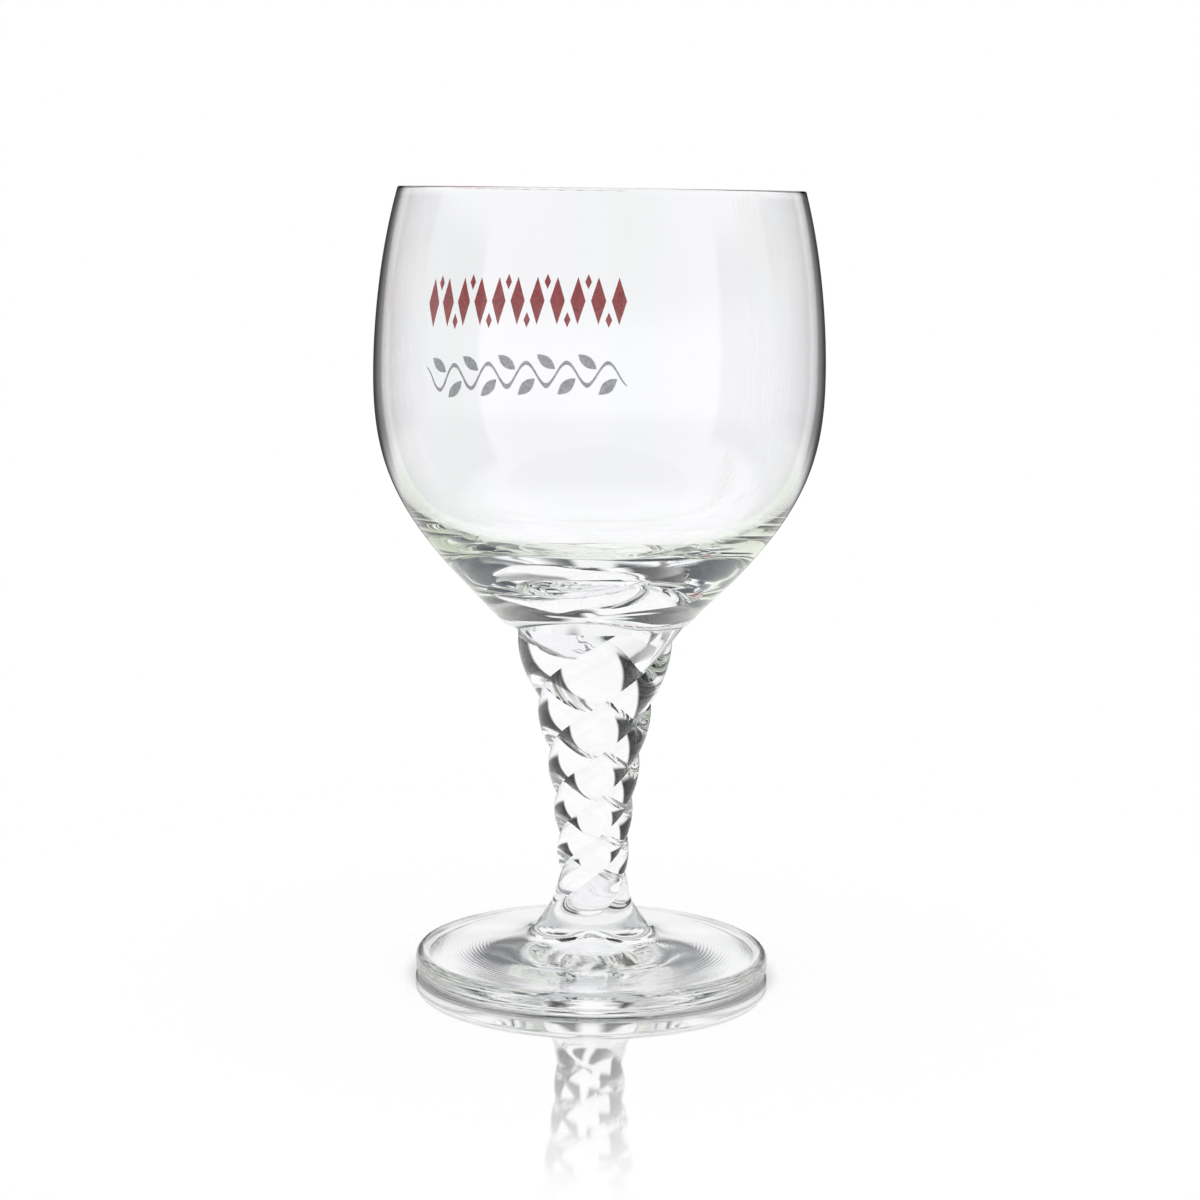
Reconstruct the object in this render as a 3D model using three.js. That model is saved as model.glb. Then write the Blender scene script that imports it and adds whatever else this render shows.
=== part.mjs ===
// A stemmed goblet of clear glass: a round bowl with a thick base, a twisted stem with four ribs
// and a flat round foot. Millimetres, +Z up, origin on the table under the middle of the foot.
import * as THREE from "three";

const { degToRad, lerp, smoothstep } = THREE.MathUtils;

// Slopes are measured from the upright, eases are the lengths of a curve's handles.

// Foot
const FOOT_RADIUS = 36.5;
const FOOT_EDGE_HEIGHT = 4.7;
const FOOT_LOWER_ROUND = 1.4;
const FOOT_UPPER_ROUND = 1.9;
const FOOT_HEIGHT = 9.5;
const FOOT_TOP_SLOPE = degToRad(82);
const FOOT_TOP_EASE = 19;
const FOOT_SHOULDER_EASE = 2.5;

// Hollow under the foot: a shallow dish with a bell in the middle
const DISH_RADIUS = 33.5;
const DISH_HEIGHT = 1.4;
const DISH_SIDE_SLOPE = degToRad(75.7);
const DISH_SIDE_EASE = 5.7;
const DISH_CROWN_EASE = 6;
const BELL_RADIUS = 12;
const BELL_HEIGHT = 5;
const BELL_TOP_EASE = 4;
const BELL_FOOT_EASE = 6.7;

// Stem, heights measured from its seat on the foot
const STEM_LENGTH = 63.5;
const STEM_BASE_RADIUS = 11.6;
const STEM_WAIST_RADIUS = 7.3;
const STEM_WAIST_HEIGHT = 11.5;
const STEM_TOP_RADIUS = 18.8;
const STEM_BASE_SLOPE = degToRad(33.5);
const STEM_BASE_EASE = 6;
const STEM_WAIST_EASE_DOWN = 6;
const STEM_WAIST_EASE_UP = 2;
const STEM_TOP_SLOPE = degToRad(26.5);
const STEM_TOP_EASE = 24.5;

// Ribs of the stem
const RIB_COUNT = 4;
// A rib's centre lies off the axis by this share of the stem's radius at that height.
const RIB_OFFSET = 0.32;
// How far the ribs lean from the upright, and how they stand where the stem meets the bowl
const RIB_LEAN_LOW = degToRad(55.2);
const RIB_LEAN_HIGH = degToRad(59.2);
const RIB_TOP_BEARING = degToRad(62);
// The ribs rise out of the round base between these heights.
const RIB_FADE_LOW = 2.5;
const RIB_FADE_HIGH = 10.5;

// Bowl, heights measured from its seat on the stem
const BOWL_HEIGHT = 87.8;
const BOWL_BELLY_RADIUS = 45.65;
const BOWL_BELLY_HEIGHT = 50.5;
const BOWL_RIM_RADIUS = 41;
const BOWL_RIM_WALL = 1.2;
const BOWL_BELLY_WALL = 1.5;
const BOWL_FLOOR_HEIGHT = 9;
const BOWL_BASE_SLOPE = degToRad(46);
const BOWL_BASE_EASE = 30;
const BOWL_BELLY_EASE_DOWN = 19.5;
const BOWL_BELLY_EASE_UP = 2;
const BOWL_RIM_SLOPE = degToRad(15.2);
const BOWL_RIM_EASE = 18;
const BOWL_CAVITY_EASE = 36;
const BOWL_FLOOR_EASE = 20;

// Facets
const ROUND_SEGMENTS = 56;
const RIB_ARC_STEPS = 5;

function clearGlass() {
  return new THREE.MeshStandardMaterial({ color: 0xe6eeeb, roughness: 0.03, metalness: 0 });
}

function point(radius, height) {
  return new THREE.Vector2(radius, height);
}

function line(from, to) {
  return new THREE.LineCurve(from, to);
}

// A curve between two points of an outline. Each end has a handle: its slope from the upright,
// and its length along the way from the first point to the last.
function ease(from, fromSlope, fromLength, to, toSlope, toLength) {
  const leave = point(Math.sin(fromSlope), Math.cos(fromSlope)).multiplyScalar(fromLength);
  const arrive = point(Math.sin(toSlope), Math.cos(toSlope)).multiplyScalar(toLength);
  return new THREE.CubicBezierCurve(from, from.clone().add(leave), to.clone().sub(arrive), to);
}

function arc(radius, height, round, start, end) {
  return new THREE.EllipseCurve(radius, height, round, round, start, end, end < start, 0);
}

// The points of several curves that follow each other, each given with its number of steps
function outline(...stretches) {
  const points = [stretches[0][0].getPoint(0)];
  for (const [curve, steps] of stretches) {
    points.push(...curve.getPoints(steps).slice(1));
  }
  return points;
}

function revolve(points) {
  return new THREE.LatheGeometry(points, ROUND_SEGMENTS).rotateX(Math.PI / 2);
}

// Foot: a hollow below, a flat ring to stand on, a rounded edge and a sloping upper face
function footGeometry() {
  const lowerCentre = FOOT_RADIUS - FOOT_LOWER_ROUND;
  const upperCentre = FOOT_RADIUS - FOOT_UPPER_ROUND;
  const upperMiddle = FOOT_EDGE_HEIGHT - FOOT_UPPER_ROUND;
  const level = Math.PI / 2;
  const bellTop = point(0, DISH_HEIGHT + BELL_HEIGHT);
  const bellFoot = point(BELL_RADIUS, DISH_HEIGHT);
  const dishEdge = point(DISH_RADIUS, 0);
  const upperEdge = point(upperCentre, FOOT_EDGE_HEIGHT);
  const seatEdge = point(STEM_BASE_RADIUS, FOOT_HEIGHT);
  const upperFace = ease(upperEdge, -FOOT_TOP_SLOPE, FOOT_TOP_EASE,
    seatEdge, -STEM_BASE_SLOPE, FOOT_SHOULDER_EASE);
  return revolve(outline(
    [ease(bellTop, level, BELL_TOP_EASE, bellFoot, level, BELL_FOOT_EASE), 8],
    [ease(bellFoot, level, DISH_CROWN_EASE, dishEdge, Math.PI - DISH_SIDE_SLOPE, DISH_SIDE_EASE), 6],
    [line(dishEdge, point(lowerCentre, 0)), 1],
    [arc(lowerCentre, FOOT_LOWER_ROUND, FOOT_LOWER_ROUND, -level, 0), 3],
    [line(point(FOOT_RADIUS, FOOT_LOWER_ROUND), point(FOOT_RADIUS, upperMiddle)), 1],
    [arc(upperCentre, upperMiddle, FOOT_UPPER_ROUND, 0, level), 4],
    [upperFace, 9],
    [line(seatEdge, point(0, FOOT_HEIGHT)), 1],
  ));
}

// Section of the stem at unit radius: round ribs that meet in sharp grooves
function ribbedSection() {
  const round = 1 - RIB_OFFSET;
  const halfPitch = Math.PI / RIB_COUNT;
  const across = RIB_OFFSET * Math.sin(halfPitch);
  const groove = RIB_OFFSET * Math.cos(halfPitch) + Math.sqrt(round ** 2 - across ** 2);
  const halfArc = Math.atan2(groove * Math.sin(halfPitch), groove * Math.cos(halfPitch) - RIB_OFFSET);
  const section = new THREE.Shape();
  for (let rib = 0; rib < RIB_COUNT; rib++) {
    const bearing = 2 * halfPitch * rib;
    section.absarc(RIB_OFFSET * Math.cos(bearing), RIB_OFFSET * Math.sin(bearing), round,
      bearing - halfArc, bearing + halfArc, false);
  }
  return section;
}

// Bearing of the ribs at each point of the stem's outline. They lean over the stem's surface by a
// slowly growing angle, so they turn faster where the stem is thin.
function ribBearings(points) {
  const bearings = [0];
  for (let i = 1; i < points.length; i++) {
    const step = points[i].distanceTo(points[i - 1]);
    const radius = (points[i].x + points[i - 1].x) / 2;
    const height = (points[i].y + points[i - 1].y) / 2;
    const lean = lerp(RIB_LEAN_LOW, RIB_LEAN_HIGH, height / STEM_LENGTH);
    bearings.push(bearings[i - 1] + Math.tan(lean) * step / radius);
  }
  const shift = RIB_TOP_BEARING - bearings.at(-1);
  return bearings.map((bearing) => bearing + shift);
}

// Stem: the ribbed section extruded one unit per ring, then every ring brought to its own height,
// radius and bearing
function stemGeometry() {
  const waist = point(STEM_WAIST_RADIUS, STEM_WAIST_HEIGHT);
  const flare = ease(point(STEM_BASE_RADIUS, 0), -STEM_BASE_SLOPE, STEM_BASE_EASE,
    waist, 0, STEM_WAIST_EASE_DOWN);
  const trunk = ease(waist, 0, STEM_WAIST_EASE_UP,
    point(STEM_TOP_RADIUS, STEM_LENGTH), STEM_TOP_SLOPE, STEM_TOP_EASE);
  const points = outline([flare, 12], [trunk, 44]);
  const bearings = ribBearings(points);
  const rings = points.length - 1;
  const geometry = new THREE.ExtrudeGeometry(ribbedSection(),
    { depth: rings, steps: rings, bevelEnabled: false, curveSegments: RIB_ARC_STEPS });
  const position = geometry.attributes.position;
  const vertex = new THREE.Vector3();
  for (let i = 0; i < position.count; i++) {
    vertex.fromBufferAttribute(position, i);
    const ring = Math.round(vertex.z);
    const { x: radius, y: height } = points[ring];
    const relief = smoothstep(height, RIB_FADE_LOW, RIB_FADE_HIGH);
    const reach = radius * (1 + (Math.hypot(vertex.x, vertex.y) - 1) * relief);
    const bearing = Math.atan2(vertex.y, vertex.x) + bearings[ring];
    position.setXYZ(i, reach * Math.cos(bearing), reach * Math.sin(bearing), height);
  }
  return geometry;
}

// Bowl: a flat seat, the outside up to the rim, a rounded lip, and the cavity down to its floor
function bowlGeometry() {
  const seatEdge = point(STEM_TOP_RADIUS, 0);
  const lip = BOWL_RIM_WALL / 2;
  const lipHeight = BOWL_HEIGHT - lip;
  const belly = point(BOWL_BELLY_RADIUS, BOWL_BELLY_HEIGHT);
  const rim = point(BOWL_RIM_RADIUS, lipHeight);
  const innerRim = point(BOWL_RIM_RADIUS - BOWL_RIM_WALL, lipHeight);
  const innerBelly = point(BOWL_BELLY_RADIUS - BOWL_BELLY_WALL, BOWL_BELLY_HEIGHT);
  const floor = point(0, BOWL_FLOOR_HEIGHT);
  return revolve(outline(
    [line(point(0, 0), seatEdge), 1],
    [ease(seatEdge, BOWL_BASE_SLOPE, BOWL_BASE_EASE, belly, 0, BOWL_BELLY_EASE_DOWN), 12],
    [ease(belly, 0, BOWL_BELLY_EASE_UP, rim, -BOWL_RIM_SLOPE, BOWL_RIM_EASE), 8],
    [arc(BOWL_RIM_RADIUS - lip, lipHeight, lip, 0, Math.PI), 4],
    [ease(innerRim, Math.PI - BOWL_RIM_SLOPE, BOWL_RIM_EASE,
      innerBelly, Math.PI, BOWL_BELLY_EASE_UP), 8],
    [ease(innerBelly, Math.PI, BOWL_CAVITY_EASE, floor, -Math.PI / 2, BOWL_FLOOR_EASE), 12],
  ));
}

function piece(name, geometry, height) {
  const mesh = new THREE.Mesh(geometry, clearGlass());
  mesh.name = name;
  mesh.position.z = height;
  return mesh;
}

const goblet = new THREE.Group();
goblet.add(piece("foot", footGeometry(), 0));
goblet.add(piece("stem", stemGeometry(), FOOT_HEIGHT));
goblet.add(piece("bowl", bowlGeometry(), FOOT_HEIGHT + STEM_LENGTH));

export default goblet;
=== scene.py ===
# A stemmed goblet of clear glass on a white glossy table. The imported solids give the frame. The bowl,
# the twisted stem and the foot are made again here with fine surfaces, and the bowl gets an ornament.
import math

import bmesh
import bpy
from mathutils import Matrix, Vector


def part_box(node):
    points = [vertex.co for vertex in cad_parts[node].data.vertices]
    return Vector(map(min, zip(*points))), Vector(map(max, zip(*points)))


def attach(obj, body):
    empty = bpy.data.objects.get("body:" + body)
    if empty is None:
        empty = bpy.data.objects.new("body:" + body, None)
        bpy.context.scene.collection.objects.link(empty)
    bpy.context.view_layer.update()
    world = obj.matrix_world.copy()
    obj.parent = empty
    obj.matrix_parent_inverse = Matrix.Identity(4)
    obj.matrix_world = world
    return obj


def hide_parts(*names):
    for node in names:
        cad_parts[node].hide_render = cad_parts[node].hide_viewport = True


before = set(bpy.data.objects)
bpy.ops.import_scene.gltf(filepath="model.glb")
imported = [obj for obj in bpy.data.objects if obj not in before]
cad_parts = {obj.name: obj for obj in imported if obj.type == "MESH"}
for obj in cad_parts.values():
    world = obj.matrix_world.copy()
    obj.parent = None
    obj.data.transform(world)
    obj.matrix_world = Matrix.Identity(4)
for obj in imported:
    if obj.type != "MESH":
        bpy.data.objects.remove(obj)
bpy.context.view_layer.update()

MM = 0.001

# Heights and radii that the frame gives, in metres
BOWL_LOW, BOWL_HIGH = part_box("bowl")
SEAT_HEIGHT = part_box("stem")[0].z
JOINT_HEIGHT = BOWL_LOW.z
RIM_HEIGHT = BOWL_HIGH.z
FOOT_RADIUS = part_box("foot")[1].x
BELLY_RADIUS = BOWL_HIGH.x

# Slopes are measured from the upright, eases are the lengths of a curve's handles

# Foot, and the hollow under it with a bell in the middle
FOOT_EDGE_HEIGHT = 4.7 * MM
FOOT_LOWER_ROUND = 1.4 * MM
FOOT_UPPER_ROUND = 1.9 * MM
FOOT_TOP_SLOPE = math.radians(82)
FOOT_TOP_EASE = 19 * MM
FOOT_SHOULDER_EASE = 2.5 * MM
HOLLOW_RADIUS = 33.5 * MM
HOLLOW_HEIGHT = 1.4 * MM
HOLLOW_SIDE = (28 * MM, HOLLOW_HEIGHT)
HOLLOW_CROWN = (15 * MM, HOLLOW_HEIGHT)
BELL_HEIGHT = 5.0 * MM
BELL_SPREAD = 6.0 * MM

# Stem
STEM_BASE_RADIUS = 11.6 * MM
STEM_BASE_SLOPE = math.radians(33.5)
STEM_BASE_EASE = 6 * MM
STEM_WAIST_RADIUS = 7.3 * MM
STEM_WAIST_HEIGHT = SEAT_HEIGHT + 11.5 * MM
STEM_WAIST_EASE_DOWN = 6 * MM
STEM_WAIST_EASE_UP = 2 * MM
STEM_TOP_RADIUS = 18.8 * MM
STEM_TOP_SLOPE = math.radians(26.5)
STEM_TOP_EASE = 24.5 * MM

# Ribs of the stem: a rib's centre lies off the axis by a share of the stem's radius at that height
RIB_COUNT = 4
RIB_OFFSET = 0.32
RIB_LEAN_LOW = math.radians(55.2)
RIB_LEAN_HIGH = math.radians(59.2)
RIB_TOP_BEARING = math.radians(62)
RIB_FADE_LOW = SEAT_HEIGHT + 2.5 * MM
RIB_FADE_HIGH = SEAT_HEIGHT + 10.5 * MM

# Bowl, which overhangs the stem by a narrow ledge
BELLY_HEIGHT = JOINT_HEIGHT + 50.5 * MM
RIM_RADIUS = 41 * MM
RIM_WALL = 1.2 * MM
BELLY_WALL = 1.5 * MM
FLOOR_HEIGHT = JOINT_HEIGHT + 9 * MM
BOWL_LEDGE = 0.12 * MM
BOWL_BASE_SLOPE = math.radians(46)
BOWL_BASE_EASE = 30 * MM
BELLY_EASE_DOWN = 19.5 * MM
BELLY_EASE_UP = 2 * MM
RIM_SLOPE = math.radians(15.2)
RIM_EASE = 18 * MM
CAVITY_EASE = 36 * MM
FLOOR_EASE = 20 * MM

# Slow spiral waves in the thick base of the bowl, left by the twisting of the hot stem
WAVE_HEIGHT = 0.2 * MM
WAVE_SWIRL = -0.2 / MM
WAVE_RISE = 4 * MM
WAVE_FADE = (6 * MM, 15 * MM)
WAVE_CALM = 5 * MM

# Fired enamel ornament on the outside of the bowl's far wall: its thickness, how deep it is sunk, its
# bearing from straight behind the glass, negative to the left, the wall's radius, and how far from
# the axis the rays that look for the wall start
ENAMEL_THICKNESS = 0.06 * MM
ENAMEL_DEPTH = 0.005 * MM
ENAMEL_BEARING = math.radians(-24)
ENAMEL_WALL = 45 * MM
ENAMEL_START = 60 * MM
# Rows of strokes. Taper and fullness are the powers that shape a stroke's ends, and every second
# stroke leans and sways the other way
ENAMEL_ROWS = {
    "tall lozenges": {
        "Count": 11, "Pitch": 4.6 * MM, "Height": 136 * MM, "Lean": math.pi / 2, "Sway": 0.0,
        "Steps": 25, "Length": 10.5 * MM, "Width": 3.4 * MM, "Taper": 1.0, "Fullness": 1.0,
        "Wave": 0.0, "Wave Length": MM},
    "small lozenges": {
        "Count": 10, "Pitch": 4.6 * MM, "Height": 136 * MM, "Lean": math.pi / 2, "Sway": 4.2 * MM,
        "Steps": 13, "Length": 3.4 * MM, "Width": 1.5 * MM, "Taper": 1.0, "Fullness": 1.0,
        "Wave": 0.0, "Wave Length": MM},
    "tendril": {
        "Count": 1, "Pitch": MM, "Height": 120 * MM, "Lean": 0.0, "Sway": 0.0,
        "Steps": 301, "Length": 50 * MM, "Width": 0.9 * MM, "Taper": 12.0, "Fullness": 0.5,
        "Wave": 2.4 * MM, "Wave Length": 9.2 * MM},
    "leaves": {
        "Count": 10, "Pitch": 4.6 * MM, "Height": 120 * MM, "Lean": math.radians(-38), "Sway": 2.6 * MM,
        "Steps": 41, "Length": 5.2 * MM, "Width": 2.3 * MM, "Taper": 2.0, "Fullness": 1.0,
        "Wave": 0.0, "Wave Length": MM},
}
# Strokes end just short of a point
STROKE_REACH = 0.999

# Table: how far below the foot it lies, where it fades into the white around it, and its faint glow
TABLE_DROP = 0.05 * MM
TABLE_NEAR = 110 * MM
TABLE_FAR = 190 * MM
TABLE_LIFT = 0.045
TABLE_ROUGHNESS = 0.04
# Painted shadow on the table close before the foot, darkening its colour: its level, its shift forwards and
# the softness of its edge
PAINTED_SHADOW_LEVEL = 0.55
PAINTED_SHADOW_SHIFT = 3.5 * MM
PAINTED_SHADOW_SOFT = 3 * MM
# Share of mirror in the table under the foot and beside it, and where it fades
POLISH_UNDER = 0.9
POLISH_BESIDE = 0.75
POLISH_NEAR = 45 * MM
POLISH_FAR = 150 * MM

# Studio, in degrees aside from straight behind the glass and above the level. A ray that crosses this
# many surfaces has been in a hollow, and any other has been in solid glass alone
HOLLOW_CROSSINGS = 3
# Dark screens as left, right, bottom and top, and the softness of their edges. The first ones are met
# through solid glass, the low ones after a turn in it, and the last ones after a turn by rays that
# have been in a hollow, such as the one under the foot
SCREENS = ((29, 80, -12, 64), (-76, -25, -12, 64))
LOW_SCREENS = ((7, 29, 2, 15), (-27, -7, 2, 15))
FOOT_SCREENS = ((20, 110, -19, 35), (-110, -20, -19, 22))
SCREEN_SOFT = (2, 4)
SCREEN_COLOUR = (0.008, 0.009, 0.011, 1)
# Brightness met by rays that a wall has thrown aside near the level, by degrees aside
SIDE_LEVELS = ((3, 1.0), (8, 0.05), (20, 0.1), (35, 0.4), (50, 0.55), (78, 0.8), (84, 1.0))
SIDE_ABOVE = (-12, 6)
SIDE_SOFT = 4
# Colours met by rays that have gone some way round inside the glass, paler where they then leave
# upwards and not far aside
ROUND_TURNS = 3
ROUND_COLOUR = (0.025, 0.035, 0.05, 1)
RAISED_COLOUR = (0.6, 0.62, 0.63, 1)
RAISED_LEVEL = (16, 24)
RAISED_ASIDE = (55, 45)
# Colours to the left and right met by rays that have gone a long way round and leave well aside,
# away from the level, or a longer way yet and leave beside the glass or towards the front
FAR_TURNS = 5
FAR_LEFT = (0.83, 0.85, 0.75, 1)
FAR_RIGHT = (0.45, 0.52, 0.38, 1)
FAR_BLEND = (-20, 20)
FAR_ASIDE = (50, 60)
FAR_LEVEL = (-14, 20)
FAR_SOFT = 2
FARTHER_TURNS = 7
FARTHER_ASIDE = (86, 92)
# Brightness of the room met after a turn in the glass, by degrees aside
ROOM_LEVELS = ((65, 1.0), (100, 0.55), (140, 0.3))
WHITE = (1, 1, 1, 1)

# Fineness of the meshes
ROUND_POINTS = 192
STEM_RINGS = 200
BOWL_BASE_STEPS = 48
BOWL_SIDE_STEPS = 32
LIP_STEPS = 14
CAVITY_STEPS = 56
FOOT_TOP_STEPS = 48
FOOT_UPPER_STEPS = 14
FOOT_LOWER_STEPS = 12
HOLLOW_STEPS = 96
OUTLINE_STEPS = 64
ENAMEL_STEPS_ACROSS = 9
TABLE_POINTS = 96
CREASE_ANGLE = math.radians(24)
JOINT_TOLERANCE = 0.001 * MM


# Node helpers

def node(tree, kind, inputs=None, **settings):
    """Adds a node. Inputs are given by name or place, as a value or as the socket that feeds them."""
    made = tree.nodes.new(kind)
    for name, value in settings.items():
        setattr(made, name, value)
    for key, value in (inputs or {}).items():
        if isinstance(value, bpy.types.NodeSocket):
            tree.links.new(value, made.inputs[key])
        else:
            made.inputs[key].default_value = value
    return made


def calc(tree, operation, *values):
    return node(tree, "ShaderNodeMath", dict(enumerate(values)), operation=operation).outputs[0]


def vector(tree, operation, *values, **named):
    """A calculation on vectors, its inputs given by place or by name."""
    made = node(tree, "ShaderNodeVectorMath", {**dict(enumerate(values)), **named}, operation=operation)
    return made.outputs["Value" if operation in ("LENGTH", "DISTANCE") else "Vector"]


def split(tree, place):
    return node(tree, "ShaderNodeSeparateXYZ", {0: place}).outputs


def xyz(tree, **parts):
    return node(tree, "ShaderNodeCombineXYZ", parts).outputs[0]


def ramp(tree, value, low, high):
    """0 below the low value, 1 above the high one, smooth between, or the other way if they swap."""
    return node(tree, "ShaderNodeMapRange", {"Value": value, "From Min": low, "From Max": high},
                interpolation_type="SMOOTHSTEP").outputs[0]


def mixed(tree, part, first, second):
    """The first colour, and by its part the second."""
    return node(tree, "ShaderNodeMix", {0: part, 6: first, 7: second}, data_type="RGBA").outputs[2]


def sockets(tree, inputs, outputs):
    """Gives a tree its named inputs and outputs, each with its kind, and returns what comes in."""
    for way, kinds in (("INPUT", inputs), ("OUTPUT", outputs)):
        for name, kind in kinds.items():
            tree.interface.new_socket(name, in_out=way, socket_type="NodeSocket" + kind)
    return node(tree, "NodeGroupInput").outputs


def socket_kinds(sizes):
    return {name: "Int" if isinstance(size, int) else "Float" for name, size in sizes.items()}


def coat_and_end(tree, shape, coat, name):
    """Ends a geometry tree: the shape realised, with its material, put out under a name."""
    real = node(tree, "GeometryNodeRealizeInstances", {"Geometry": shape.outputs[0]})
    coated = node(tree, "GeometryNodeSetMaterial", {"Geometry": real.outputs[0], "Material": coat})
    node(tree, "NodeGroupOutput", {name: coated.outputs[0]})


def grown(start, tree, values):
    """The plain mesh that a geometry tree makes from a starting object, which is then taken away."""
    modifier = start.modifiers.new(tree.name, "NODES")
    modifier.node_group = tree
    inputs = {item.name: item.identifier for item in tree.interface.items_tree if item.in_out == "INPUT"}
    for name, value in values.items():
        modifier[inputs[name]] = value
    depsgraph = bpy.context.evaluated_depsgraph_get()
    mesh = bpy.data.meshes.new_from_object(start.evaluated_get(depsgraph), depsgraph=depsgraph)
    bpy.data.objects.remove(start)
    return mesh


def placed(name, data):
    """A new object in the scene, at the origin."""
    thing = bpy.data.objects.new(name, data)
    bpy.context.scene.collection.objects.link(thing)
    return thing


# Outlines, as lists of (radius, height)

def handle(point, slope, length):
    return (point[0] + length * math.sin(slope), point[1] + length * math.cos(slope))


def bezier(start, start_handle, end_handle, end, steps):
    points = []
    for i in range(steps + 1):
        t = i / steps
        weights = ((1 - t) ** 3, 3 * (1 - t) ** 2 * t, 3 * (1 - t) * t ** 2, t ** 3)
        corners = (start, start_handle, end_handle, end)
        points.append(tuple(sum(w * c[axis] for w, c in zip(weights, corners)) for axis in (0, 1)))
    return points


def arc(centre, radius, start, end, steps):
    angles = [start + (end - start) * i / steps for i in range(steps + 1)]
    return [(centre[0] + radius * math.cos(a), centre[1] + radius * math.sin(a)) for a in angles]


def joined(*stretches):
    points = list(stretches[0])
    for stretch in stretches[1:]:
        points += stretch[1:]
    return points


# Meshes of bowl and foot

def rib_reach(bearing):
    """Radius of the stem's section at unit size: round ribs that meet in sharp grooves."""
    pitch = 2 * math.pi / RIB_COUNT
    off = (bearing + pitch / 2) % pitch - pitch / 2
    round_part = math.sqrt((1 - RIB_OFFSET) ** 2 - (RIB_OFFSET * math.sin(off)) ** 2)
    return RIB_OFFSET * math.cos(off) + round_part


def ring(radius, height, turn=0.0):
    """One ring of points: radius is a length, or a function of the bearing."""
    points = []
    for i in range(ROUND_POINTS):
        bearing = 2 * math.pi * i / ROUND_POINTS
        reach = radius(bearing) if callable(radius) else radius
        points.append((reach * math.cos(bearing + turn), reach * math.sin(bearing + turn), height))
    return points


def skin(name, rings, pole):
    """A closed mesh: a flat face on the first ring, strips between the rings, a fan to the pole."""
    bm = bmesh.new()
    rows = [[bm.verts.new(point) for point in points] for points in rings]
    bm.faces.new(rows[0])
    for low, high in zip(rows, rows[1:]):
        for i in range(ROUND_POINTS):
            j = (i + 1) % ROUND_POINTS
            bm.faces.new((low[i], low[j], high[j], high[i]))
    tip = bm.verts.new(pole)
    for i in range(ROUND_POINTS):
        bm.faces.new((rows[-1][i], rows[-1][(i + 1) % ROUND_POINTS], tip))
    bmesh.ops.recalc_face_normals(bm, faces=bm.faces)
    mesh = bpy.data.meshes.new(name)
    bm.to_mesh(mesh)
    bm.free()
    return mesh


def gentle(value, low, high):
    """0 at the low value, 1 at the high one, smooth between."""
    share = min(max((value - low) / (high - low), 0), 1)
    return share * share * (3 - 2 * share)


def make_wavy(mesh):
    """Pushes the surface of the bowl's base in and out in a slow spiral, calm at the axis and above."""
    ways = [vertex.normal.copy() for vertex in mesh.vertices]
    for vertex, way in zip(mesh.vertices, ways):
        reach = vertex.co.xy.length
        rise = vertex.co.z - JOINT_HEIGHT
        share = gentle(rise, 0, WAVE_RISE) * gentle(reach, 0, WAVE_CALM) * (1 - gentle(rise, *WAVE_FADE))
        turn = math.atan2(vertex.co.y, vertex.co.x) - RIB_TOP_BEARING
        wave = math.cos(RIB_COUNT * turn + WAVE_SWIRL * reach)
        vertex.co += way * (WAVE_HEIGHT * share * wave)


def bowl_mesh():
    """A flat ribbed seat, the outside up to the rim, a rounded lip, and the cavity down to its floor."""
    seat_edge = (STEM_TOP_RADIUS + BOWL_LEDGE, JOINT_HEIGHT)
    lip = RIM_WALL / 2
    lip_height = RIM_HEIGHT - lip
    belly = (BELLY_RADIUS, BELLY_HEIGHT)
    rim = (RIM_RADIUS, lip_height)
    inner_rim = (RIM_RADIUS - RIM_WALL, lip_height)
    inner_belly = (BELLY_RADIUS - BELLY_WALL, BELLY_HEIGHT)
    floor = (0.0, FLOOR_HEIGHT)
    outline = joined(
        bezier(seat_edge, handle(seat_edge, BOWL_BASE_SLOPE, BOWL_BASE_EASE),
               handle(belly, 0, -BELLY_EASE_DOWN), belly, BOWL_BASE_STEPS),
        bezier(belly, handle(belly, 0, BELLY_EASE_UP),
               handle(rim, -RIM_SLOPE, -RIM_EASE), rim, BOWL_SIDE_STEPS),
        arc((RIM_RADIUS - lip, lip_height), lip, 0, math.pi, LIP_STEPS),
        bezier(inner_rim, handle(inner_rim, -RIM_SLOPE, -RIM_EASE),
               handle(inner_belly, 0, BELLY_EASE_UP), inner_belly, BOWL_SIDE_STEPS),
        bezier(inner_belly, handle(inner_belly, 0, -CAVITY_EASE),
               (FLOOR_EASE, FLOOR_HEIGHT), floor, CAVITY_STEPS),
    )
    rings = [ring(lambda b: STEM_TOP_RADIUS * rib_reach(b), JOINT_HEIGHT, RIB_TOP_BEARING)]
    rings += [ring(radius, height, RIB_TOP_BEARING) for radius, height in outline[:-1]]
    mesh = skin("bowl", rings, (0, 0, FLOOR_HEIGHT))
    make_wavy(mesh)
    return mesh


def bell(radius):
    """Height that the bell in the middle adds to the hollow under the foot."""
    return BELL_HEIGHT * math.exp(-(radius / BELL_SPREAD) ** 2)


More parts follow.
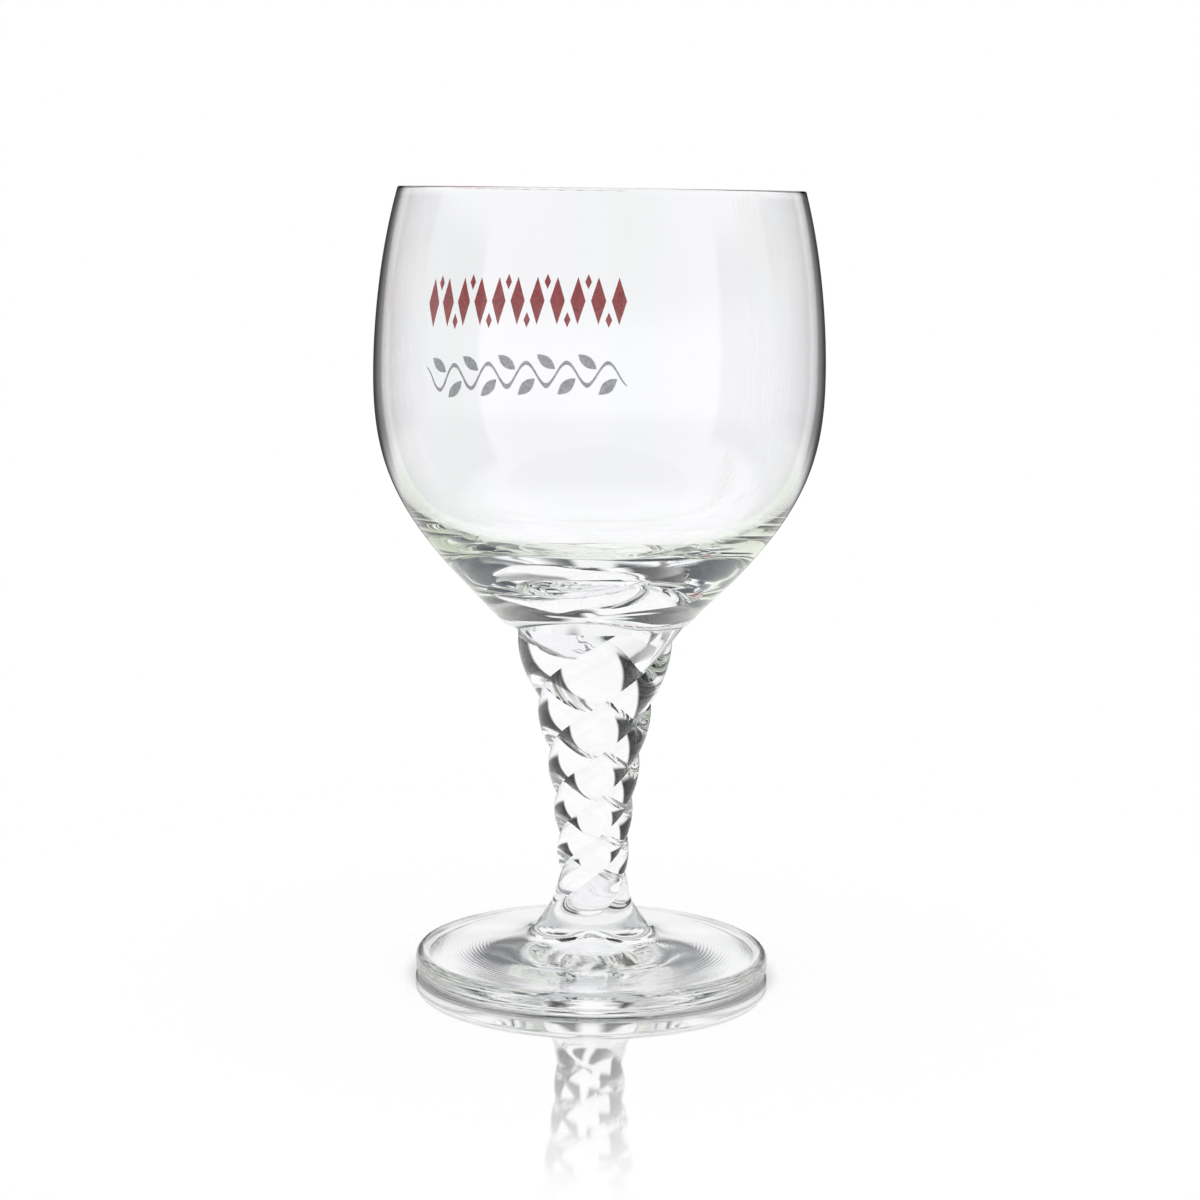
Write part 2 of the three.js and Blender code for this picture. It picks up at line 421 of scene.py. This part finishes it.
def foot_mesh():
    """A round seat, the sloping upper face, the rounded edge, the ring to stand on and the hollow."""
    seat_edge = (STEM_BASE_RADIUS, SEAT_HEIGHT)
    lower_centre = (FOOT_RADIUS - FOOT_LOWER_ROUND, FOOT_LOWER_ROUND)
    upper_centre = (FOOT_RADIUS - FOOT_UPPER_ROUND, FOOT_EDGE_HEIGHT - FOOT_UPPER_ROUND)
    upper_edge = (upper_centre[0], FOOT_EDGE_HEIGHT)
    hollow_edge = (HOLLOW_RADIUS, 0.0)
    hollow = bezier(hollow_edge, HOLLOW_SIDE, HOLLOW_CROWN, (0, HOLLOW_HEIGHT), HOLLOW_STEPS)
    outline = joined(
        bezier(seat_edge, handle(seat_edge, -STEM_BASE_SLOPE, -FOOT_SHOULDER_EASE),
               handle(upper_edge, -FOOT_TOP_SLOPE, FOOT_TOP_EASE), upper_edge, FOOT_TOP_STEPS),
        arc(upper_centre, FOOT_UPPER_ROUND, math.pi / 2, 0, FOOT_UPPER_STEPS),
        [(FOOT_RADIUS, upper_centre[1]), (FOOT_RADIUS, lower_centre[1])],
        arc(lower_centre, FOOT_LOWER_ROUND, 0, -math.pi / 2, FOOT_LOWER_STEPS),
        [(lower_centre[0], 0.0), hollow_edge],
        [(radius, height + bell(radius)) for radius, height in hollow],
    )
    rings = [ring(radius, height, RIB_TOP_BEARING) for radius, height in outline[:-1]]
    return skin("foot", rings, (0, 0, outline[-1][1]))


def finish_glass(mesh, glass, fused, *joints):
    """Smooth faces with sharp creases. Flat faces on a joint are where two gathers fuse."""
    mesh.materials.clear()
    mesh.materials.append(glass)
    mesh.materials.append(fused)
    mesh.polygons.foreach_set("use_smooth", [True] * len(mesh.polygons))
    for face in mesh.polygons:
        at_joint = any(abs(face.center.z - height) < JOINT_TOLERANCE for height in joints)
        face.material_index = int(at_joint and len(face.vertices) == ROUND_POINTS)
    mesh.set_sharp_from_angle(angle=CREASE_ANGLE)


def mark_hollow(mesh, marked):
    """The hollow under the foot takes the glass with the turning marks."""
    mesh.materials.append(marked)
    for face in mesh.polygons:
        if face.normal.z < 0 and face.center.xy.length < HOLLOW_RADIUS:
            face.material_index = len(mesh.materials) - 1


def piece(mesh, name, nodes):
    thing = placed(name, mesh)
    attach(thing, "root")
    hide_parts(*nodes)
    return thing


# Twisted stem, by geometry nodes

STEM_SIZES = {
    "Rings": STEM_RINGS,
    "Round Points": ROUND_POINTS,
    "Rib Count": float(RIB_COUNT),
    "Rib Offset": RIB_OFFSET,
    "Lean Low": RIB_LEAN_LOW,
    "Lean High": RIB_LEAN_HIGH,
    "Base Height": SEAT_HEIGHT,
    "Top Height": JOINT_HEIGHT,
    "Top Bearing": RIB_TOP_BEARING,
    "Fade Low": RIB_FADE_LOW,
    "Fade High": RIB_FADE_HIGH,
}


def stem_outline():
    """The stem's outline as a curve in the XZ plane: base, waist and top with their handles."""
    base = (STEM_BASE_RADIUS, SEAT_HEIGHT)
    waist = (STEM_WAIST_RADIUS, STEM_WAIST_HEIGHT)
    top = (STEM_TOP_RADIUS, JOINT_HEIGHT)
    knots = (
        (base, -STEM_BASE_SLOPE, STEM_BASE_EASE, STEM_BASE_EASE),
        (waist, 0, STEM_WAIST_EASE_DOWN, STEM_WAIST_EASE_UP),
        (top, STEM_TOP_SLOPE, STEM_TOP_EASE, STEM_TOP_EASE),
    )
    curve = bpy.data.curves.new("stem_outline", "CURVE")
    curve.dimensions = "3D"
    spline = curve.splines.new("BEZIER")
    spline.resolution_u = OUTLINE_STEPS
    spline.bezier_points.add(len(knots) - 1)
    for knot, (point, slope, down, up) in zip(spline.bezier_points, knots):
        places = (handle(point, slope, -down), point, handle(point, slope, up))
        knot.handle_left_type = knot.handle_right_type = "FREE"
        knot.handle_left, knot.co, knot.handle_right = [(r, 0, h) for r, h in places]
    return curve


def stem_tree(glass):
    """Sweeps a round section up the axis, then gives every point its ribbed radius and its turn."""
    tree = bpy.data.node_groups.new("twisted stem", "GeometryNodeTree")
    size = sockets(tree, {"Outline": "Geometry", **socket_kinds(STEM_SIZES)}, {"Stem": "Geometry"})
    place = node(tree, "GeometryNodeInputPosition").outputs[0]

    # Spine: the outline's points, with how far and how steeply the ribs lean at each
    spine = node(tree, "GeometryNodeResampleCurve", {"Curve": size["Outline"], "Count": size["Rings"]})
    index = node(tree, "GeometryNodeInputIndex").outputs[0]
    before = calc(tree, "MAXIMUM", calc(tree, "SUBTRACT", index, 1), 0)
    last = node(tree, "GeometryNodeFieldAtIndex", {"Value": place, "Index": before},
                data_type="FLOAT_VECTOR").outputs[0]
    step = vector(tree, "DISTANCE", place, last)
    here = split(tree, place)
    there = split(tree, last)
    radius = calc(tree, "MULTIPLY", calc(tree, "ADD", here["X"], there["X"]), 0.5)
    height = calc(tree, "MULTIPLY", calc(tree, "ADD", here["Z"], there["Z"]), 0.5)
    lean = node(tree, "ShaderNodeMapRange", {
        "Value": height, "From Min": size["Base Height"], "From Max": size["Top Height"],
        "To Min": size["Lean Low"], "To Max": size["Lean High"]}).outputs[0]
    turn = calc(tree, "DIVIDE", calc(tree, "MULTIPLY", calc(tree, "TANGENT", lean), step), radius)
    total = node(tree, "GeometryNodeAccumulateField", {"Value": turn}).outputs
    from_top = calc(tree, "SUBTRACT", total["Leading"], total["Total"])
    bearing = calc(tree, "ADD", from_top, size["Top Bearing"])
    for name, value in (("bearing", bearing), ("reach", here["X"])):
        spine = node(tree, "GeometryNodeStoreNamedAttribute",
                     {"Geometry": spine.outputs[0], "Name": name, "Value": value})
    spine = node(tree, "GeometryNodeSetPosition",
                 {"Geometry": spine.outputs[0], "Position": xyz(tree, Z=here["Z"])})
    section = node(tree, "GeometryNodeCurvePrimitiveCircle",
                   {"Resolution": size["Round Points"], "Radius": 1.0})
    swept = node(tree, "GeometryNodeCurveToMesh", {
        "Curve": spine.outputs[0], "Profile Curve": section.outputs[0], "Fill Caps": True})

    # Ribs: the radius of round lobes by bearing, risen out of the round base
    spot = split(tree, place)
    round_bearing = calc(tree, "ARCTAN2", spot["Y"], spot["X"])
    pitch = calc(tree, "DIVIDE", 2 * math.pi, size["Rib Count"])
    half_pitch = calc(tree, "MULTIPLY", pitch, 0.5)
    shifted = calc(tree, "ADD", round_bearing, half_pitch)
    off = calc(tree, "SUBTRACT", calc(tree, "FLOORED_MODULO", shifted, pitch), half_pitch)
    across = calc(tree, "MULTIPLY", size["Rib Offset"], calc(tree, "SINE", off))
    along = calc(tree, "MULTIPLY", size["Rib Offset"], calc(tree, "COSINE", off))
    lobe = calc(tree, "SUBTRACT", 1.0, size["Rib Offset"])
    chord = calc(tree, "SQRT", calc(
        tree, "SUBTRACT", calc(tree, "MULTIPLY", lobe, lobe), calc(tree, "MULTIPLY", across, across)))
    ribbed = calc(tree, "ADD", along, chord)
    relief = ramp(tree, spot["Z"], size["Fade Low"], size["Fade High"])
    share = calc(tree, "ADD", 1.0, calc(tree, "MULTIPLY", calc(tree, "SUBTRACT", ribbed, 1.0), relief))
    reach, rib_bearing = [
        node(tree, "GeometryNodeInputNamedAttribute", {"Name": name}, data_type="FLOAT").outputs[0]
        for name in ("reach", "bearing")]
    length = calc(tree, "MULTIPLY", reach, share)
    turned = calc(tree, "ADD", round_bearing, rib_bearing)
    target = xyz(tree, X=calc(tree, "MULTIPLY", length, calc(tree, "COSINE", turned)),
                 Y=calc(tree, "MULTIPLY", length, calc(tree, "SINE", turned)), Z=spot["Z"])
    ribs = node(tree, "GeometryNodeSetPosition", {"Geometry": swept.outputs[0], "Position": target})
    coat_and_end(tree, ribs, glass, "Stem")
    return tree


def stem_mesh(glass):
    mesh = grown(placed("stem_outline", stem_outline()), stem_tree(glass), STEM_SIZES)
    mesh.name = "stem"
    for name in ("reach", "bearing"):
        mesh.attributes.remove(mesh.attributes[name])
    return mesh


# Enamel ornament, by geometry nodes

def enamel_tree(coat):
    """A row of flat strokes with tapering ends, wrapped from outside onto the wall of the bowl."""
    tree = bpy.data.node_groups.new("enamel row", "GeometryNodeTree")
    kinds = socket_kinds(ENAMEL_ROWS["tendril"])
    size = sockets(tree, {"Start": "Geometry", "Wall": "Object", **kinds}, {"Row": "Geometry"})
    spot = split(tree, node(tree, "GeometryNodeInputPosition").outputs[0])

    # One stroke: a flat bar, narrowed towards its ends and bent into a wave
    bar = node(tree, "GeometryNodeMeshCube", {
        "Size": xyz(tree, X=size["Length"], Y=size["Width"], Z=ENAMEL_THICKNESS),
        "Vertices X": size["Steps"], "Vertices Y": ENAMEL_STEPS_ACROSS, "Vertices Z": 2})
    along = calc(tree, "DIVIDE", calc(tree, "MULTIPLY", spot["X"], 2 * STROKE_REACH), size["Length"])
    lost = calc(tree, "POWER", calc(tree, "ABSOLUTE", along), size["Taper"])
    narrow = calc(tree, "POWER", calc(tree, "SUBTRACT", 1.0, lost), size["Fullness"])
    phase = calc(tree, "DIVIDE", calc(tree, "MULTIPLY", spot["X"], 2 * math.pi), size["Wave Length"])
    swing = calc(tree, "MULTIPLY", calc(tree, "SINE", phase), size["Wave"])
    across = calc(tree, "ADD", calc(tree, "MULTIPLY", spot["Y"], narrow), swing)
    stroke = node(tree, "GeometryNodeSetPosition", {
        "Geometry": bar.outputs["Mesh"], "Position": xyz(tree, X=spot["X"], Y=across, Z=spot["Z"])})

    # The row: strokes on a line, every second one leaning and swaying the other way
    gaps = calc(tree, "SUBTRACT", size["Count"], 1)
    first = calc(tree, "MULTIPLY", gaps, calc(tree, "MULTIPLY", size["Pitch"], -0.5))
    line = node(tree, "GeometryNodeMeshLine", {
        "Count": size["Count"], "Start Location": xyz(tree, X=first), "Offset": xyz(tree, X=size["Pitch"])})
    odd = calc(tree, "FLOORED_MODULO", node(tree, "GeometryNodeInputIndex").outputs[0], 2)
    sign = calc(tree, "SUBTRACT", 1.0, calc(tree, "MULTIPLY", odd, 2))
    sway = xyz(tree, Y=calc(tree, "MULTIPLY", size["Sway"], sign))
    lean = xyz(tree, Z=calc(tree, "MULTIPLY", size["Lean"], sign))
    swayed = node(tree, "GeometryNodeSetPosition", {"Geometry": line.outputs["Mesh"], "Offset": sway})
    row = node(tree, "GeometryNodeInstanceOnPoints", {
        "Points": swayed.outputs[0], "Instance": stroke.outputs[0], "Rotation": lean})
    flat = node(tree, "GeometryNodeRealizeInstances", {"Geometry": row.outputs[0]})

    # Wrapping: across becomes a bearing, up a height, and a ray finds the wall from outside
    bearing = calc(tree, "ADD", ENAMEL_BEARING, calc(tree, "DIVIDE", spot["X"], ENAMEL_WALL))
    outward = xyz(tree, X=calc(tree, "SINE", bearing), Y=calc(tree, "COSINE", bearing))
    inward = vector(tree, "SCALE", outward, Scale=-1.0)
    level = xyz(tree, Z=calc(tree, "ADD", spot["Y"], size["Height"]))
    wall = node(tree, "GeometryNodeObjectInfo", {"Object": size["Wall"]}).outputs["Geometry"]
    met = node(tree, "GeometryNodeRaycast", {
        "Target Geometry": wall, "Ray Direction": inward, "Ray Length": ENAMEL_START,
        "Source Position": vector(tree, "MULTIPLY_ADD", outward, (ENAMEL_START,) * 3, level)}).outputs
    depth = calc(tree, "ADD", spot["Z"], ENAMEL_DEPTH + ENAMEL_THICKNESS / 2)
    target = vector(tree, "ADD", met["Hit Position"], vector(tree, "SCALE", inward, Scale=depth))
    wrapped = node(tree, "GeometryNodeSetPosition", {"Geometry": flat.outputs[0], "Position": target})
    coat_and_end(tree, wrapped, coat, "Row")
    return tree


def enamel_row(name, wall, coat, tree):
    start = placed(name, bpy.data.meshes.new(name))
    mesh = grown(start, tree, {"Wall": wall, **ENAMEL_ROWS[name]})
    mesh.materials.clear()
    mesh.materials.append(coat)
    mesh.polygons.foreach_set("material_index", [0] * len(mesh.polygons))
    thing = placed("enamel_" + name.replace(" ", "_"), mesh)
    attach(thing, "root")


# Materials

def new_material(name):
    material = bpy.data.materials.new(name)
    material.use_nodes = True
    material.node_tree.nodes.clear()
    return material, material.node_tree


def object_place(tree):
    return node(tree, "ShaderNodeTexCoord").outputs["Object"]


def put_out(tree, shader):
    node(tree, "ShaderNodeOutputMaterial", {"Surface": shader.outputs[0]})


# Glass: its colours looked into, its painted shade where light grazes it, darker than the longer path alone
# would make it, and its green where it grazes the thick lower wall
GLASS_IOR = 1.52
GLASS_TINT = (0.99, 0.99, 1.0, 1)
GLASS_STREAK = (0.965, 0.975, 0.975, 1)
GLASS_EDGE_SHADE = (0.12, 0.14, 0.15, 1)
GLASS_PALE = (0.74, 0.82, 0.64, 1)
PALE_START = (JOINT_HEIGHT, JOINT_HEIGHT + 3 * MM)
PALE_END = (JOINT_HEIGHT + 38 * MM, JOINT_HEIGHT + 26 * MM)
STREAK_SCALE = 55
STREAK_STRETCH = 0.2
STREAK_EDGE = (0.45, 0.75)
SHADE_GRAZING = (0.8, 1.0)
PALE_GRAZING = (0.55, 0.8)


def glass_colours():
    """Colour of the glass looked into, with faint upright streaks, and where the thick lower wall is."""
    group = bpy.data.node_groups.new("glass colours", "ShaderNodeTree")
    given = sockets(group, {"Place": "Vector", "Clear": "Color", "Streak": "Color"},
                    {"Colour": "Color", "Lower Wall": "Float"})
    stretched = vector(group, "MULTIPLY", given["Place"], (1, 1, STREAK_STRETCH))
    cloud = node(group, "ShaderNodeTexNoise", {"Vector": stretched, "Scale": STREAK_SCALE, "Detail": 2.0})
    streak = ramp(group, cloud.outputs[0], *STREAK_EDGE)
    height = split(group, given["Place"])["Z"]
    lower = calc(group, "MULTIPLY", ramp(group, height, *PALE_START), ramp(group, height, *PALE_END))
    node(group, "NodeGroupOutput", {
        "Colour": mixed(group, streak, given["Clear"], given["Streak"]), "Lower Wall": lower})
    return group


def edge_tint_and_shade(tree, place, colours):
    """Clear glass, darker where light grazes it, a little from the longer path but mostly as painted shade,
    and greenish where it grazes the thick lower wall.
    """
    shades = node(tree, "ShaderNodeGroup", {"Place": place, "Clear": GLASS_TINT, "Streak": GLASS_STREAK},
                  node_tree=colours).outputs
    lower = shades["Lower Wall"]
    facing = node(tree, "ShaderNodeLayerWeight", {"Blend": 0.5}).outputs["Facing"]
    # Painted shade: at grazing angles the colour goes dark, standing in for the dark surroundings seen at
    # the edges
    dark = calc(tree, "MULTIPLY", ramp(tree, facing, *SHADE_GRAZING), calc(tree, "SUBTRACT", 1.0, lower))
    pale = calc(tree, "MULTIPLY", ramp(tree, facing, *PALE_GRAZING), lower)
    return mixed(tree, pale, mixed(tree, dark, shades["Colour"], GLASS_EDGE_SHADE), GLASS_PALE)


def clear_shader(tree, place, colours, **more):
    return node(tree, "ShaderNodeBsdfPrincipled", {
        "Base Color": edge_tint_and_shade(tree, place, colours), "Roughness": 0.0, "IOR": GLASS_IOR,
        "Transmission Weight": 1.0, **more})


def glass_material(colours):
    material, tree = new_material("goblet_glass")
    put_out(tree, clear_shader(tree, object_place(tree), colours))
    return material


# Turning marks under the foot: their spacing and depth, how far they wander, and the scales of noise
# that makes their spacing uneven, bends them and varies their depth
RING_PITCH = 0.75 * MM
RING_DEPTH = 0.0035 * MM
RING_WANDER = 0.6
RING_UNEVEN = 0.35
RING_BEND = 90
RING_VARY = 0.21


def ring_marks():
    """Fine turning rings round the axis, a little uneven in spacing and depth, as a height."""
    group = bpy.data.node_groups.new("ring marks", "ShaderNodeTree")
    given = sockets(group, {"Place": "Vector", "Pitch": "Float", "Wander": "Float"}, {"Height": "Float"})
    flat = vector(group, "MULTIPLY", given["Place"], (1, 1, 0))
    turns = calc(group, "DIVIDE", vector(group, "LENGTH", flat), given["Pitch"])
    uneven = node(group, "ShaderNodeTexNoise", {"W": turns, "Scale": RING_UNEVEN, "Detail": 2.0},
                  noise_dimensions="1D").outputs[0]
    bend = node(group, "ShaderNodeTexNoise", {"Vector": flat, "Scale": RING_BEND, "Detail": 1.0}).outputs[0]
    shift = calc(group, "MULTIPLY", calc(group, "ADD", uneven, bend), given["Wander"])
    wave = calc(group, "SINE", calc(group, "MULTIPLY", calc(group, "ADD", turns, shift), 2 * math.pi))
    depth = node(group, "ShaderNodeTexNoise", {"W": turns, "Scale": RING_VARY, "Detail": 1.0},
                 noise_dimensions="1D").outputs[0]
    node(group, "NodeGroupOutput", {"Height": calc(group, "MULTIPLY", wave, depth)})
    return group


def marked_glass_material(colours, rings):
    """Glass under the foot, where the mould's turning marks remain."""
    material, tree = new_material("marked_glass")
    place = object_place(tree)
    marks = node(tree, "ShaderNodeGroup", {"Place": place, "Pitch": RING_PITCH, "Wander": RING_WANDER},
                 node_tree=rings)
    bump = node(tree, "ShaderNodeBump", {
        "Strength": 1.0, "Distance": RING_DEPTH, "Height": marks.outputs["Height"]})
    put_out(tree, clear_shader(tree, place, colours, Normal=bump.outputs[0]))
    return material


def fused_material():
    """Nothing shows where two gathers of glass are fused."""
    material, tree = new_material("fused_joint")
    put_out(tree, node(tree, "ShaderNodeBsdfTransparent"))
    return material


# Enamel: light and deep tone of each colour, and the scale of its grain
ENAMEL_RED = ((0.72, 0.03, 0.04, 1), (0.5, 0.008, 0.016, 1))
ENAMEL_GREY = ((0.76, 0.77, 0.79, 1), (0.54, 0.55, 0.57, 1))
ENAMEL_GRAIN = 1400
ENAMEL_TONE_EDGE = (0.35, 0.65)
ENAMEL_ROUGHNESS = (0.28, 0.5)


def mottle():
    """Fired colour: two tones in a fine grain, the deep one rougher."""
    group = bpy.data.node_groups.new("enamel mottle", "ShaderNodeTree")
    given = sockets(group, {"Place": "Vector", "Light": "Color", "Deep": "Color", "Grain": "Float"},
                    {"Colour": "Color", "Roughness": "Float"})
    cloud = node(group, "ShaderNodeTexNoise", {
        "Vector": given["Place"], "Scale": given["Grain"], "Detail": 3.0})
    part = ramp(group, cloud.outputs[0], *ENAMEL_TONE_EDGE)
    smooth, rough = ENAMEL_ROUGHNESS
    roughness = node(group, "ShaderNodeMapRange", {"Value": part, "To Min": smooth, "To Max": rough})
    node(group, "NodeGroupOutput", {
        "Colour": mixed(group, part, given["Light"], given["Deep"]), "Roughness": roughness.outputs[0]})
    return group


def enamel_material(name, tones, grain):
    material, tree = new_material(name)
    light, deep = tones
    fired = node(tree, "ShaderNodeGroup", {
        "Place": object_place(tree), "Light": light, "Deep": deep, "Grain": ENAMEL_GRAIN},
        node_tree=grain).outputs
    put_out(tree, node(tree, "ShaderNodeBsdfPrincipled", {
        "Base Color": fired["Colour"], "Roughness": fired["Roughness"], "IOR": GLASS_IOR}))
    return material


def table_material():
    """White and glossy, most of all under the foot, fading to nothing at its edge, with a painted shadow
    darkening its colour close before the foot.
    """
    material, tree = new_material("white_table")
    place = object_place(tree)
    reach = vector(tree, "LENGTH", place)
    beside = node(tree, "ShaderNodeMapRange", {
        "Value": reach, "From Min": POLISH_NEAR, "From Max": POLISH_FAR,
        "To Min": POLISH_BESIDE, "To Max": 0.0}, interpolation_type="SMOOTHSTEP").outputs[0]
    under = ramp(tree, reach, FOOT_RADIUS + MM, FOOT_RADIUS)
    polish = node(tree, "ShaderNodeMix", {0: under, 2: beside, 3: POLISH_UNDER}).outputs[0]
    # Painted shadow: a ring just before the foot, shifted forwards, darkens the table's colour, its glow
    # and its mirror
    front = vector(tree, "LENGTH", vector(tree, "ADD", place, (0, PAINTED_SHADOW_SHIFT, 0)))
    near = calc(tree, "MULTIPLY", ramp(tree, reach, FOOT_RADIUS - MM, FOOT_RADIUS),
                ramp(tree, front, FOOT_RADIUS + PAINTED_SHADOW_SOFT, FOOT_RADIUS - PAINTED_SHADOW_SOFT))
    level = calc(tree, "SUBTRACT", 1.0, calc(tree, "MULTIPLY", near, 1 - PAINTED_SHADOW_LEVEL))
    shade = node(tree, "ShaderNodeCombineColor", {0: level, 1: level, 2: level}).outputs[0]
    diffuse = node(tree, "ShaderNodeBsdfDiffuse", {"Color": shade})
    lift = node(tree, "ShaderNodeEmission", {"Color": shade, "Strength": TABLE_LIFT})
    matt = node(tree, "ShaderNodeAddShader", {0: diffuse.outputs[0], 1: lift.outputs[0]})
    mirror = node(tree, "ShaderNodeBsdfGlossy", {"Color": shade, "Roughness": TABLE_ROUGHNESS})
    glossy = node(tree, "ShaderNodeMixShader", {0: polish, 1: matt.outputs[0], 2: mirror.outputs[0]})
    clear = node(tree, "ShaderNodeBsdfTransparent")
    edge = ramp(tree, reach, TABLE_NEAR, TABLE_FAR)
    put_out(tree, node(tree, "ShaderNodeMixShader", {0: edge, 1: glossy.outputs[0], 2: clear.outputs[0]}))
    return material


# Stage

def table():
    mesh = bpy.data.meshes.new("table")
    bm = bmesh.new()
    bmesh.ops.create_circle(bm, cap_ends=True, radius=TABLE_FAR, segments=TABLE_POINTS,
                            matrix=Matrix.Translation((0, 0, -TABLE_DROP)))
    bm.to_mesh(mesh)
    bm.free()
    mesh.materials.append(table_material())
    thing = placed("table", mesh)


def levels(tree, degrees, stops):
    """A brightness over a half turn, from stops of degrees and level."""
    made = node(tree, "ShaderNodeValToRGB", {0: calc(tree, "DIVIDE", degrees, 180)})
    points = made.color_ramp.elements
    while len(points) < len(stops):
        points.new(0.5)
    for point, (stop, level) in zip(points, stops):
        point.position = stop / 180
        point.color = (level, level, level, 1)
    return made.outputs["Color"]


def studio():
    """A white room with dark screens beside the glass, darker in front. Only rays that the glass has
    bent or turned meet its screens and levels, and all others meet white."""
    world = bpy.data.worlds.new("studio")
    bpy.context.scene.world = world
    world.use_nodes = True
    tree = world.node_tree
    tree.nodes.clear()
    direction = split(tree, node(tree, "ShaderNodeTexCoord").outputs["Generated"])
    aside = calc(tree, "DEGREES", calc(tree, "ARCTAN2", direction["X"], direction["Y"]))
    above = calc(tree, "DEGREES", calc(tree, "ARCSINE", direction["Z"]))
    mirrored = calc(tree, "ABSOLUTE", aside)
    rays = node(tree, "ShaderNodeLightPath").outputs

    def at_least(value, count):
        return calc(tree, "GREATER_THAN", value, count - 0.5)

    def all_of(first, *others):
        for other in others:
            first = calc(tree, "MULTIPLY", first, other)
        return first

    def between(value, low, high, soft):
        rise = ramp(tree, value, low - soft, low + soft)
        fall = ramp(tree, value, high - soft, high + soft)
        return calc(tree, "SUBTRACT", rise, fall)

    def shaded(screens):
        dark = 0.0
        for left, right, bottom, top in screens:
            across = between(aside, left, right, SCREEN_SOFT[0])
            dark = calc(tree, "MAXIMUM", dark, all_of(across, between(above, bottom, top, SCREEN_SOFT[1])))
        return dark

    turns = rays["Glossy Depth"]
    turned = at_least(turns, 1)
    entered = at_least(rays["Transmission Depth"], 1)
    hollow = at_least(rays["Transmission Depth"], HOLLOW_CROSSINGS)
    solid = calc(tree, "SUBTRACT", 1.0, hollow)

    # Room and screens
    level = mixed(tree, all_of(turned, solid), WHITE, levels(tree, mirrored, ROOM_LEVELS))
    level = mixed(tree, all_of(entered, solid, shaded(SCREENS)), level, SCREEN_COLOUR)
    level = mixed(tree, all_of(turned, hollow, shaded(FOOT_SCREENS)), level, SCREEN_COLOUR)
    level = mixed(tree, all_of(turned, solid, shaded(LOW_SCREENS)), level, SCREEN_COLOUR)
    thrown = all_of(turned, solid, between(above, *SIDE_ABOVE, SIDE_SOFT))
    level = mixed(tree, thrown, level, levels(tree, mirrored, SIDE_LEVELS))

    # Rays that have gone round inside the glass
    raised = all_of(ramp(tree, above, *RAISED_LEVEL), ramp(tree, mirrored, *RAISED_ASIDE))
    wound = mixed(tree, raised, ROUND_COLOUR, RAISED_COLOUR)
    level = mixed(tree, all_of(solid, at_least(turns, ROUND_TURNS)), level, wound)
    steep = calc(tree, "SUBTRACT", 1.0, between(above, *FAR_LEVEL, FAR_SOFT))
    far = all_of(at_least(turns, FAR_TURNS), ramp(tree, mirrored, *FAR_ASIDE), steep)
    farther = all_of(at_least(turns, FARTHER_TURNS), ramp(tree, mirrored, *FARTHER_ASIDE))
    pale = mixed(tree, ramp(tree, aside, *FAR_BLEND), FAR_LEFT, FAR_RIGHT)
    level = mixed(tree, all_of(solid, calc(tree, "MAXIMUM", far, farther)), level, pale)

    bounced = calc(tree, "MAXIMUM", rays["Is Glossy Ray"], rays["Is Transmission Ray"])
    seen = mixed(tree, all_of(bounced, rays["Is Singular Ray"]), WHITE, level)
    back = node(tree, "ShaderNodeBackground", {"Color": seen, "Strength": 1.0})
    node(tree, "ShaderNodeOutputWorld", {"Surface": back.outputs[0]})


# Camera, fitted to the photograph: a long lens just above the rim, turned a little about its axis
CAMERA_DISTANCE = 577.5 * MM
CAMERA_HEIGHT = 162.2 * MM
CAMERA_ASIDE = 0.75 * MM
CAMERA_PITCH = math.radians(8.35)
CAMERA_ROLL = math.radians(0.8)
CAMERA_LENS = 85.6


def camera():
    data = bpy.data.cameras.new("camera")
    data.sensor_width = 36
    data.lens = CAMERA_LENS
    data.clip_start = 10 * MM
    thing = placed("camera", data)
    thing.matrix_world = (
        Matrix.Translation((CAMERA_ASIDE, -CAMERA_DISTANCE, CAMERA_HEIGHT))
        @ Matrix.Rotation(math.pi / 2 - CAMERA_PITCH, 4, "X")
        @ Matrix.Rotation(CAMERA_ROLL, 4, "Z"))
    bpy.context.scene.camera = thing


def light_paths():
    """Clear glass sends light back and forth inside itself many times."""
    cycles = bpy.context.scene.cycles
    cycles.max_bounces = 32
    cycles.glossy_bounces = 24
    cycles.transmission_bounces = 32
    cycles.transparent_max_bounces = 32


camera()
colours = glass_colours()
glass = glass_material(colours)
fused = fused_material()
marked = marked_glass_material(colours, ring_marks())
pieces = {}
for name, mesh, joints in (
        ("bowl", bowl_mesh(), [JOINT_HEIGHT]),
        ("stem", stem_mesh(glass), [SEAT_HEIGHT, JOINT_HEIGHT]),
        ("foot", foot_mesh(), [SEAT_HEIGHT])):
    finish_glass(mesh, glass, fused, *joints)
    if name == "foot":
        mark_hollow(mesh, marked)
    pieces[name] = piece(mesh, "glass_" + name, [name])
grain = mottle()
for colour, tones, names in (
        ("red_enamel", ENAMEL_RED, ("tall lozenges", "small lozenges")),
        ("grey_enamel", ENAMEL_GREY, ("tendril", "leaves"))):
    coat = enamel_material(colour, tones, grain)
    tree = enamel_tree(coat)
    for name in names:
        enamel_row(name, pieces["bowl"], coat, tree)
table()
studio()
light_paths()
bpy.context.scene.view_settings.view_transform = "Standard"
